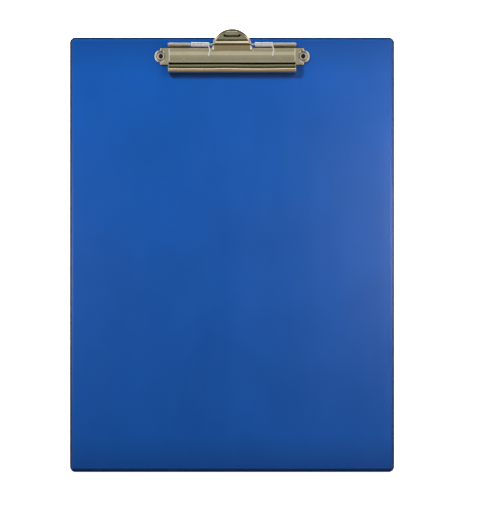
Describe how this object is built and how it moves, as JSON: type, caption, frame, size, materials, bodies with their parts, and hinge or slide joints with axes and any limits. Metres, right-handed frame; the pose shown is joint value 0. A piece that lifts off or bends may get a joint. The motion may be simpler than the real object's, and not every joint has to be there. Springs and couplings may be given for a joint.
{
  "type": "clipboard",
  "caption": "A4 clipboard: a PVC-covered stiff board with a sprung, hinged metal clip with a thumb tab riveted to its top edge.",
  "frame": {"origin": "centre of the board's flat back face", "axes": "+X across the board, +Y up the board towards the clip, +Z out of the writing face"},
  "size_m": [0.235, 0.3212, 0.0168],
  "materials": {
    "pvc_film": "satin",
    "greyboard": "matte",
    "nickel_plate": "bright nickel",
    "steel_rod": "bright",
    "spring_wire": "bright",
    "eyelet_metal": "bright nickel"
  },
  "bodies": {
    "board": {"back_film": "pvc_film", "core_board": "greyboard", "front_film": "pvc_film", "clip_base": "nickel_plate", "hinge_rod": "steel_rod", "spring_left": "spring_wire", "spring_right": "spring_wire", "eyelet_left": "eyelet_metal", "eyelet_right": "eyelet_metal"},
    "jaw": {"clip_jaw": "nickel_plate"}
  },
  "joints": [
    {"name": "jaw_hinge", "type": "hinge", "parent": "board", "child": "jaw", "pos_m": [0, 0.152, 0.0092], "axis": [-1, 0, 0], "range_deg": [0, 40], "stiffness_Nm_per_rad": 0.15, "springref_deg": -68.75, "deforming": ["spring_left", "spring_right"]}
  ]
}
